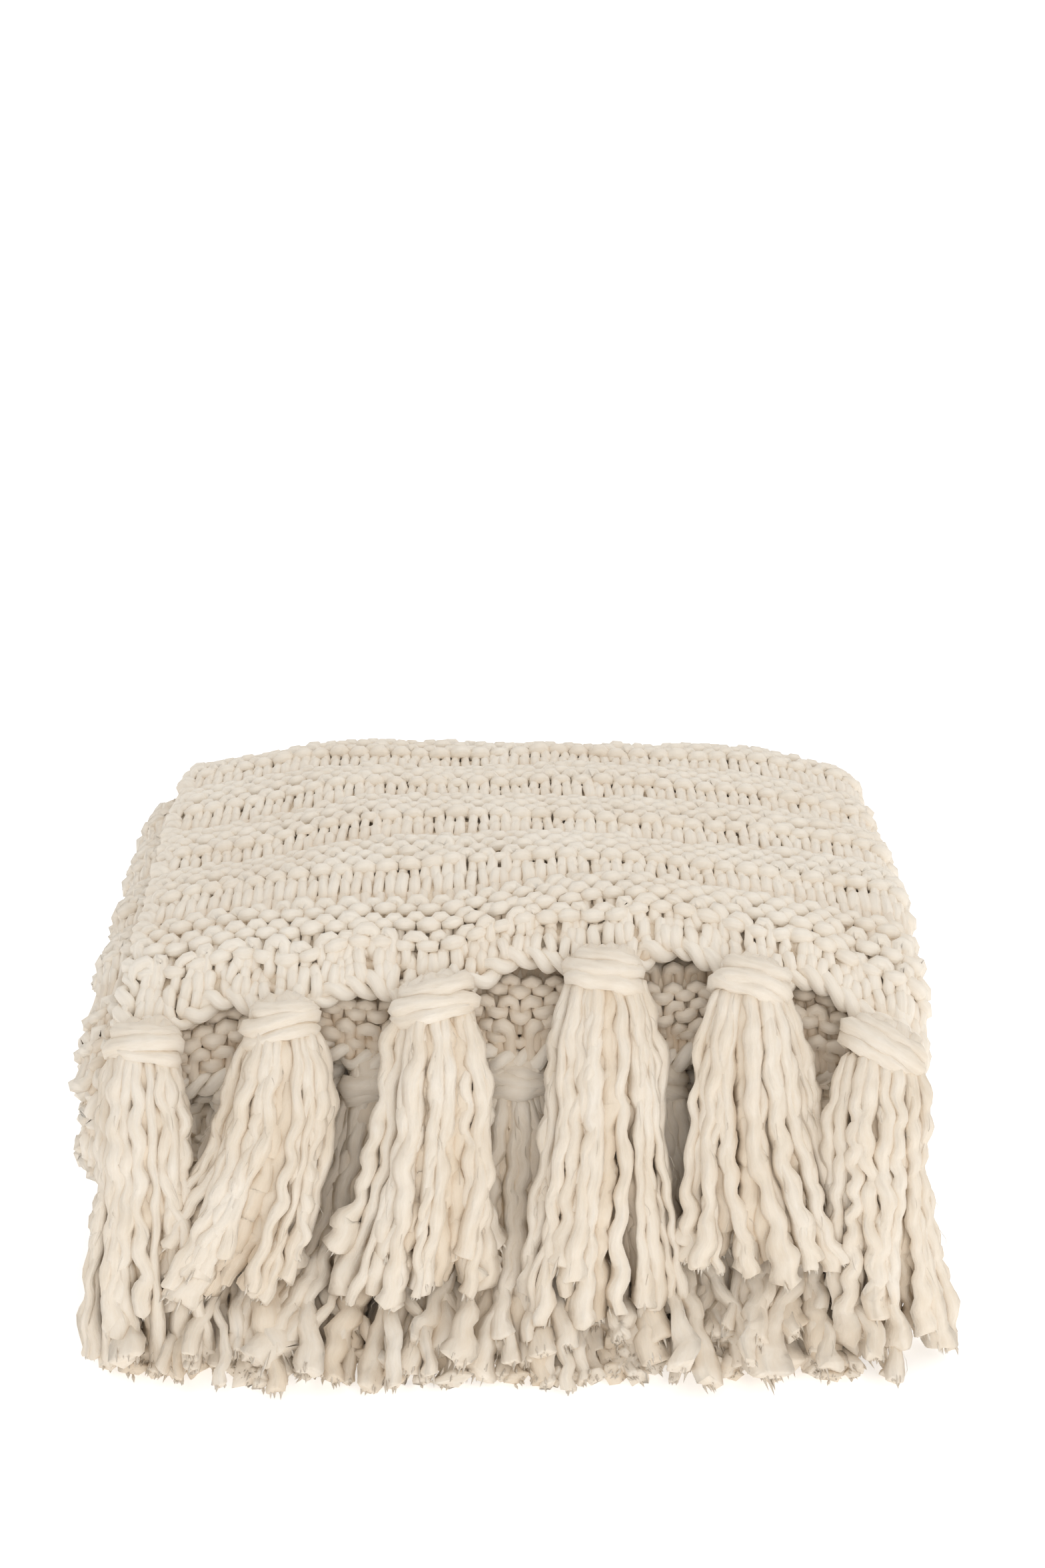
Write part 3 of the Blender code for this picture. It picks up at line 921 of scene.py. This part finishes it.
    def knot(self, yarn: YarnMesh) -> None:
        """Adds the wraps round the hank's neck, and the loops that go over the hem."""
        generator = np.random.default_rng(self.seed + 90)
        noise = Noise(self.seed + 700)
        rounds, rings = self.wraps, 22
        turn = np.linspace(0, TAU * rounds, int(rings * rounds) + 1)[None, :]
        share = turn / (TAU * rounds)
        fat = self.roving * 1.36
        low, high = self.overlap - self.tall + fat, self.overlap - fat * 0.5
        bulk = 0.62 + 0.38 * smooth(share / 0.40) - 0.12 * smooth((share - 0.62) / 0.38)
        wide = self.width * 0.5 * bulk - fat * 0.8
        deep = self.deep * 0.5 * bulk - fat * 0.6
        tilt = self.fall.slant + 0.16 * noise.along(turn.shape, rings * 1.1)
        right = wide * np.cos(turn) + 0.0012 * noise.along(turn.shape, 7)
        behind = -self.stand_off + deep * np.sin(turn) + 0.0010 * noise.along(turn.shape, 7)
        up = high + (low - high) * share + tilt * right + 0.0012 * noise.along(turn.shape, 8)
        radius = fat * (1 + 0.22 * noise.along(turn.shape, 8))
        yarn.add(self.local(right, behind, up), radius)
        loops = self.loops
        if not loops:
            return
        spot = np.linspace(-1, 1, loops)[:, None] + generator.uniform(-0.1, 0.1, (loops, 1))
        path = np.linspace(0, 1, 13)[None, :]
        arc = path * math.pi * 0.9
        across = spot * (self.width * 0.5 - 0.011) + 0.0016 * noise.along((loops, 13), 4)
        behind = -self.stand_off - self.deep * 0.16 * np.cos(arc) + path * self.stand_off * 0.9
        base = self.overlap - 0.38 * self.tall
        up = base + 0.32 * self.tall * np.sqrt(np.clip(1 - 0.5 * spot**2, 0, 1)) * np.sin(arc)
        yarn.add(self.local(across, behind, up), fat * generator.uniform(1.0, 1.3, (loops, 1)))

    def build(self, wisps: Wisps) -> bpy.types.Object:
        """Returns the tassel's object, its loose fibres gathered apart."""
        yarn = YarnMesh(6, 0.22, 0.023)
        self.hank(yarn, wisps)
        self.knot(yarn)
        return yarn.build(self.name + "_hank")


@dataclass
class Wisps:
    """Loose wool fibres: brushes at the cut ends, and strays along the yarn.

    Attributes:
        fibres, strays: how many of each a strand has.
        fibre_radius, stray_radius: how thick they are.
        brushes, hairs: the meshes they are gathered in.
    """

    fibres: int = 6
    strays: int = 4
    fibre_radius: float = 0.00125
    stray_radius: float = 0.00013
    brushes: YarnMesh = field(default_factory=lambda: YarnMesh(3, 0.0))
    hairs: YarnMesh = field(default_factory=lambda: YarnMesh(3, 0.0))

    def tuft(self, ends: Array, heading: Array, radius: Array, generator: np.random.Generator) -> None:
        """Adds the soft fibres in which each strand ends."""
        count = len(ends)
        spread = unit(heading[:, None] + generator.normal(0, 0.06, (count, self.fibres, 3)))
        side = generator.normal(0, 1, (count, self.fibres, 3))
        side = side - np.sum(side * heading[:, None], axis=-1, keepdims=True) * heading[:, None]
        side = unit(side) * np.sqrt(generator.random((count, self.fibres, 1))) * radius[:, None, None] * 0.80
        root = ends[:, None] + side - heading[:, None] * radius[:, None, None] * 0.8
        length = radius[:, None, None] * generator.uniform(1.0, 1.9, (count, self.fibres, 1))
        share = np.linspace(0, 1, 3)[None, :, None]
        root, spread, length = (value.reshape(-1, 1, value.shape[-1]) for value in (root, spread, length))
        path = root + spread * length * share
        path[..., 2] = np.maximum(path[..., 2], LOWEST_FIBRE)
        self.brushes.add(path, self.fibre_radius * np.array((1.0, 0.85, 0.20))[None, :])

    def stray(self, path: Array, radius: Array, generator: np.random.Generator) -> None:
        """Adds fine hairs that stand away from each strand."""
        count, length, _ = path.shape
        at = generator.integers(2, length - 2, (count, self.strays))
        rows = np.arange(count)[:, None]
        root = path[rows, at].reshape(-1, 1, 3)
        along = unit(path[rows, np.minimum(at + 1, length - 1)] - path[rows, at]).reshape(-1, 1, 3)
        out = unit(generator.normal(0, 1, root.shape))
        out = unit(out - np.sum(out * along, axis=-1, keepdims=True) * along)
        size = radius[rows, at].reshape(-1, 1, 1)
        share = np.linspace(0, 1, 4)[None, :, None]
        reach = generator.uniform(0.006, 0.016, (len(root), 1, 1))
        line = root + out * size * 0.8 + along * reach * share + out * 0.004 * np.sin(share * 2.6)
        line[..., 2] = np.maximum(line[..., 2], LOWEST_HAIR)
        self.hairs.add(line, self.stray_radius)


class Wire:
    """A shader socket that sums and scales by Python's own operators."""

    def __init__(self, bench: Bench, socket: Any) -> None:
        """Wraps a socket.

        Args:
            bench: the material's nodes.
            socket: the output that the expression starts from.
        """
        self.bench = bench
        self.socket = socket

    def _math(self, operation: str, first: Any, second: Any) -> Wire:
        """Returns a Math node's result."""
        node = self.bench.node("ShaderNodeMath", {"operation": operation}, {0: first, 1: second})
        return Wire(self.bench, node.outputs[0])

    def __add__(self, other: Any) -> Wire:
        """Returns the sum."""
        return self._math("ADD", self, other)

    def __radd__(self, other: Any) -> Wire:
        """Returns the sum."""
        return self._math("ADD", other, self)

    def __rmul__(self, other: Any) -> Wire:
        """Returns the product."""
        return self._math("MULTIPLY", other, self)


class Bench:
    """The nodes of one material, made through one method."""

    def __init__(self, name: str) -> None:
        """Starts a material with its Principled shader.

        Args:
            name: the material's name.
        """
        self.material = bpy.data.materials.new(name)
        self.material.use_nodes = True
        self.tree = self.material.node_tree
        self.shader = self.tree.nodes["Principled BSDF"]

    def node(self, kind: str, settings: dict[str, Any], inputs: dict[Any, Any]) -> bpy.types.Node:
        """Makes a node.

        Args:
            kind: the node's type.
            settings: its properties, set before its sockets; "stops" fills a colour ramp.
            inputs: values, wires or sockets for its inputs, by name or number.

        Returns:
            The node.
        """
        made = self.tree.nodes.new(kind)
        for key, value in settings.items():
            if key == "stops":
                for index, (place, colour) in enumerate(value):
                    stop = made.color_ramp.elements[index] if index < 2 else made.color_ramp.elements.new(place)
                    stop.position = place
                    stop.color = colour
            else:
                setattr(made, key, value)
        self.feed(made, inputs)
        return made

    def feed(self, node: bpy.types.Node, inputs: dict[Any, Any]) -> None:
        """Gives a node's inputs their values or links."""
        for key, value in inputs.items():
            if isinstance(value, Wire):
                self.tree.links.new(value.socket, node.inputs[key])
            elif isinstance(value, bpy.types.NodeSocket):
                self.tree.links.new(value, node.inputs[key])
            else:
                node.inputs[key].default_value = value


@dataclass(frozen=True)
class WoolFinish:
    """Matt undyed wool.

    Attributes:
        name: the material's name.
        light: the colour of its open parts.
        deep: the colour of its slightly darker patches.
        inner: the warmer, darker colour of painted shade deep between the yarns.
        fibre: how strongly the fibres show.
        on_yarn: True where the piece has a UV map along its yarn.
    """

    name: str
    light: Colour
    deep: Colour
    inner: Colour
    fibre: float = 0.5
    on_yarn: bool = True

    def make(self) -> bpy.types.Material:
        """Returns the material."""
        bench = Bench(self.name)
        where = bench.node("ShaderNodeTexCoord", {}, {}).outputs["Object"]
        source, scale = where, (240.0, 240.0, 240.0)
        if self.on_yarn:
            source, scale = bench.node("ShaderNodeUVMap", {"uv_map": "yarn"}, {}).outputs["UV"], (90.0, 9.0, 1.0)
        mapped = bench.node("ShaderNodeMapping", {}, {"Vector": source, "Scale": scale}).outputs[0]
        streaks, patches = (
            bench.node("ShaderNodeTexNoise", {}, dict(zip(("Vector", "Scale", "Detail", "Roughness"), values)))
            for values in ((mapped, 1.0, 5.0, 0.62), (where, 24.0, 3.0, 0.6))
        )
        fibres = streaks.outputs["Fac"]
        shade = 0.45 * Wire(bench, fibres) + 0.55 * Wire(bench, patches.outputs["Fac"])
        colour = bench.node("ShaderNodeValToRGB", {"stops": ((0.36, self.deep), (0.62, self.light))}, {"Fac": shade})
        # Painted shade: the "inner" attribute mixes the warm shade colour in, deep between the yarns.
        depth = bench.node("ShaderNodeAttribute", {"attribute_name": "inner"}, {}).outputs["Fac"]
        shaded_tone = bench.node("ShaderNodeMix", {"data_type": "RGBA"}, {0: depth, 6: colour.outputs["Color"], 7: self.inner})
        rough = 0.82 + 0.14 * Wire(bench, fibres)
        bump = bench.node("ShaderNodeBump", {}, {"Strength": self.fibre, "Distance": 0.0012, "Height": fibres})
        bench.feed(
            bench.shader,
            {
                "Base Color": shaded_tone.outputs[2],
                "Roughness": rough,
                "Normal": bump.outputs["Normal"],
                "Sheen Weight": 0.12,
                "Sheen Tint": (1.0, 0.88, 0.74, 1.0),
                "Sheen Roughness": 0.5,
                "Specular IOR Level": 0.12,
            },
        )
        return bench.material


@dataclass
class Studio:
    """The floor, the lights and the camera.

    Attributes:
        lens: focal length on a 36 mm sensor along the image's long side.
        camera_at: the camera's place.
        pitch: how far it looks down, in degrees.
        yaw: how far it looks to the right.
    """

    lens: float = 56.5
    camera_at: tuple[float, float, float] = (0.0046, -1.3705, 0.7418)
    pitch: float = 19.17
    yaw: float = 0.495

    def floor(self) -> bpy.types.Object:
        """Returns a plain white floor that curves up into a backdrop."""
        bm = bmesh.new()
        bmesh.ops.create_grid(bm, x_segments=1, y_segments=24, size=3.0)
        for vert in bm.verts:
            vert.co.z = 1.6 * max(0.0, (vert.co.y - 1.6) / 1.4) ** 2
        mesh = bpy.data.meshes.new("floor")
        bm.to_mesh(mesh)
        bm.free()
        mesh.shade_smooth()
        obj = placed("floor", mesh)
        bench = Bench("floor_paper")
        white = (0.93, 0.93, 0.93, 1.0)
        bench.feed(bench.shader, {"Base Color": white, "Roughness": 0.9, "Emission Color": white})
        bench.feed(bench.shader, {"Emission Strength": 0.46})
        mesh.materials.append(bench.material)
        return obj

    def lamp(self, name: str, place: Sequence[float], size: float, power: float, colour: Sequence[float]) -> None:
        """Adds a square softbox that faces the throw."""
        light = bpy.data.lights.new(name, "AREA")
        light.shape = "SQUARE"
        light.size = size
        light.energy = power
        light.color = colour
        obj = bpy.data.objects.new(name, light)
        obj.location = place
        aim = Vector((0.0, 0.0, 0.1)) - Vector(place)
        obj.rotation_euler = aim.to_track_quat("-Z", "Y").to_euler()
        bpy.context.scene.collection.objects.link(obj)

    def build(self) -> None:
        """Sets up the whole studio."""
        scene = bpy.context.scene
        self.floor()
        world = bpy.data.worlds.new("studio")
        scene.world = world
        world.use_nodes = True
        sky = world.node_tree.nodes["Background"]
        sky.inputs["Color"].default_value = (1.0, 0.995, 0.985, 1.0)
        sky.inputs["Strength"].default_value = 0.73
        self.lamp("key", (0.5, -2.6, 1.15), 1.6, 10.5, (1.0, 0.985, 0.96))
        self.lamp("fill", (1.9, -1.6, 1.3), 1.8, 6.5, (1.0, 0.985, 0.96))
        self.lamp("top", (0.2, 0.4, 2.4), 1.6, 5.5, (1.0, 1.0, 1.0))
        lens = bpy.data.cameras.new("camera")
        lens.sensor_fit = "AUTO"
        lens.sensor_width = 36.0
        lens.lens = self.lens
        camera = bpy.data.objects.new("camera", lens)
        camera.location = self.camera_at
        camera.rotation_euler = (math.radians(90 - self.pitch), 0.0, math.radians(-self.yaw))
        scene.collection.objects.link(camera)
        scene.camera = camera
        scene.view_settings.view_transform = "Standard"


@dataclass
class KnitThrow:
    """The whole throw: its body, its courses of yarn and its tassels."""

    cloth: FoldedCloth
    tassel_rows: tuple[tuple[float, ...], ...] = (
        (0.0210, 0.0858, 0.1646, 0.2564, 0.3370, 0.4095),
        (0.5170, 0.5885, 0.6620, 0.7365, 0.8050),
        (0.9190, 0.9990, 1.0790, 1.1590, 1.2390),
    )
    falls: tuple[tuple[Fall, ...], ...] = (
        (
            Fall(0.003, 0.82, 0.014, slip=0.009, shift=-0.006, slant=-0.05, girth=0.92),
            Fall(-0.041, 1.22, 0.050, slip=0.002, slant=0.20, girth=0.90),
            Fall(-0.015, 1.12, 0.048, slant=0.10, girth=1.0),
            Fall(-0.005, 1.18, 0.038, slant=-0.08, girth=0.95),
            Fall(0.015, 1.46, 0.062, slant=0.04, girth=0.93),
            Fall(0.008, 0.86, 0.014, slip=0.009, shift=0.006, slant=-0.22, girth=1.04),
        ),
        (Fall(-0.004, 1.0), Fall(0.010, 1.15), Fall(-0.008, 1.1), Fall(-0.016, 1.2), Fall(0.004, 1.0)),
        (Fall(0.024, 0.62), Fall(0.006, 1.0), Fall(-0.006, 1.1), Fall(0.008, 1.0), Fall(0.0, 1.0)),
    )
    pieces: list[bpy.types.Object] = field(default_factory=list)
    triangles: int = 0

    def panels(self) -> list[KnitPanel]:
        """Returns the panels of yarn that cover the faces that show."""
        cloth = self.cloth
        top, middle, _ = cloth.ply_widths
        arc = cloth.fold_arc
        back = cloth.run + cloth.turn_arc
        last_left = top + arc + middle
        lower_end = cloth.end - 0.004
        upper, second, third = self.tassel_rows
        coarse = {"samples": 10, "sides": 5}
        return [
            KnitPanel(
                cloth, "courses_top", (0.0, top + arc), (None, back + 0.004), samples=14, parts=2,
                hem_tassels=upper, edges=("hem", "selvedge"),
            ),
            KnitPanel(
                cloth, "courses_lower_back", (0.0, top + arc), (2 * back + cloth.run - 0.02, 3 * back + 0.03), **coarse
            ),
            KnitPanel(
                cloth, "courses_right_folds", (top - 0.034, top + arc + 0.016), (back + 0.004, lower_end), **coarse
            ),
            KnitPanel(
                cloth, "courses_left_folds", (last_left - 0.03, last_left + arc + 0.034), (-0.09, lower_end),
                face=-1, **coarse,
            ),
            # The second hem's yarn gets painted shade throughout, as it lies under the top ply.
            KnitPanel(
                cloth, "courses_second_hem", (top + arc - 0.004, last_left + 0.006), (None, -0.040), face=-1,
                hem_tassels=second, base_lift=0.0036, hem_courses=(Stitch.RIB, Stitch.PURL), inner=0.35,
                edges=("hem",),
            ),
            KnitPanel(
                cloth, "courses_third_hem", (last_left + arc, cloth.width), (None, -0.085),
                hem_tassels=third, base_lift=0.0036, edges=("hem",), **coarse,
            ),
        ]

    def frame_at(self, across: float, upper: bool, upright: float) -> tuple[Array, Array]:
        """Finds where a tassel hangs.

        Args:
            across: distance from the left selvedge of the top ply.
            upper: True for the upper hem.
            upright: how far the knot turns from the cloth towards the vertical.

        Returns:
            The place on the hem, and right, behind and up as columns.
        """
        steps = np.array((across - 0.004, across + 0.004))
        along = self.cloth.hem_line(steps) if upper else np.full(2, self.cloth.end)
        inward = 0.004 if upper else -0.004
        ends = self.cloth.place(steps, along, 0.0)
        inner = self.cloth.place(steps, along + inward, 0.0)
        place = ends.mean(axis=0)
        right = unit(ends[1] - ends[0])
        right = right * math.copysign(1.0, right[0])
        up = unit(inner.mean(axis=0) - place) + upright * np.array((0.0, 0.0, 1.0))
        up = unit(up - (up @ right) * right)
        return place, np.stack((right, np.cross(up, right), up), axis=1)

    def tassels(self) -> list[Tassel]:
        """Returns every tassel of both hems."""
        shift = (self.cloth.origin[1], 0.0)
        # The inner values set the painted shade in each row's strands.
        hanging = (
            dict(
                strands=44, width=0.048, deep=0.031, tall=0.028, stand_off=0.0205, overlap=0.009, tip_width=0.076,
                tip_deep=0.040, splay=0.005, steps=46, roving=0.0039,
                route=Route((-0.018, -0.046), (-0.170, 0.090), (-0.172, 0.046)),
            ),
            dict(
                strands=36, width=0.042, deep=0.022, tall=0.025, stand_off=0.0, overlap=-0.001, tip_width=0.104,
                tip_deep=0.036, splay=0.016, steps=34, roving=0.0045, crimp=0.0013, ragged=0.17, inner=0.12,
                route=Route((-0.008, -0.056), (-0.150, 0.040), (-0.198, 0.002)),
            ),
            dict(
                strands=28, width=0.042, deep=0.021, tall=0.023, stand_off=0.0, overlap=-0.001, tip_width=0.098,
                tip_deep=0.034, splay=0.014, steps=24, roving=0.0049, ragged=0.20, inner=0.15,
                route=Route((-0.002, -0.030), (-0.122, 0.026), (-0.185, 0.003)),
            ),
        )
        tucked = dict(
            strands=8, width=0.040, deep=0.0125, tall=0.022, stand_off=0.0, overlap=-0.001, tip_width=0.056,
            tip_deep=0.008, lying=True, steps=14, roving=0.0036, wraps=2.6, loops=0,
            route=Route((-0.030, -0.002), (-0.060, -0.001), (-0.088, -0.001)),
        )
        made = []
        for ply, row in enumerate(self.tassel_rows):
            for number, across in enumerate(row):
                seed = SEED + ply * 40 + number
                name = f"tassel_{('top', 'middle', 'under')[ply]}_{number + 1}"
                frame = self.frame_at(across, True, 0.0 if ply else 0.5)
                fall = self.falls[ply][number]
                made.append(Tassel(name, *frame, fall=fall, seed=seed, offset=shift, **hanging[ply]))
                if ply != 1:
                    name = f"tassel_tucked_{ply + 1}_{number + 1}"
                    frame = self.frame_at(across, False, 0.0)
                    made.append(Tassel(name, *frame, fall=Fall(), seed=seed + 300, **tucked))
        return made

    def finish(self, obj: bpy.types.Object, material: bpy.types.Material, slot: str) -> None:
        """Gives a piece its material and its body."""
        obj.data.materials.clear()
        obj.data.materials.append(material)
        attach(obj, "root")
        self.pieces.append(obj)
        self.triangles += sum(len(polygon.vertices) - 2 for polygon in obj.data.polygons)
        LOG.info("%s has %d faces", obj.name, len(obj.data.polygons))

    def build(self) -> None:
        """Builds and dresses the throw."""
        # Each finish's third colour is painted shade, for yarn deep between the others.
        knit = WoolFinish(
            "wool_knit", (0.920, 0.855, 0.760, 1.0), (0.860, 0.775, 0.665, 1.0), (0.74, 0.60, 0.45, 1.0)
        ).make()
        # The body's wool colours are darker than the knit's: painted shade in the gaps between the stitches.
        body = WoolFinish(
            "wool_body_shaded", (0.86, 0.76, 0.63, 1.0), (0.76, 0.65, 0.51, 1.0), (0.74, 0.60, 0.45, 1.0), 0.9, False
        ).make()
        roving = WoolFinish(
            "wool_roving", (0.875, 0.800, 0.700, 1.0), (0.785, 0.685, 0.560, 1.0), (0.74, 0.59, 0.42, 1.0), 0.7
        ).make()
        wisps = Wisps()
        for panel in self.panels():
            for obj in panel.build():
                self.finish(obj, knit, "knit")
        self.finish(Selvedges(self.cloth).build(), knit, "knit")
        for tassel in self.tassels():
            obj = tassel.build(wisps)
            self.finish(obj, roving, "yarn")
            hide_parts(tassel.name)
        self.finish(wisps.brushes.build("cut_ends"), roving, "yarn")
        self.finish(wisps.hairs.build("stray_fibres"), roving, "yarn")
        backing = BackingCloth(self.cloth).build()
        yarns = list(self.pieces)
        self.finish(backing, body, "knit")
        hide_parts("throw")
        self.cloth.width
        self.cloth.end - float(self.cloth.hem_line(TOP_MIDDLE))
        LOG.info("the pieces have %d triangles", self.triangles)


def main() -> None:
    """Loads the frame, dresses the throw and sets the studio."""
    logging.basicConfig(level=logging.INFO, format="%(message)s")
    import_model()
    Studio().build()
    KnitThrow(FoldedCloth.from_solid("throw")).build()


if __name__ == "__main__":
    main()
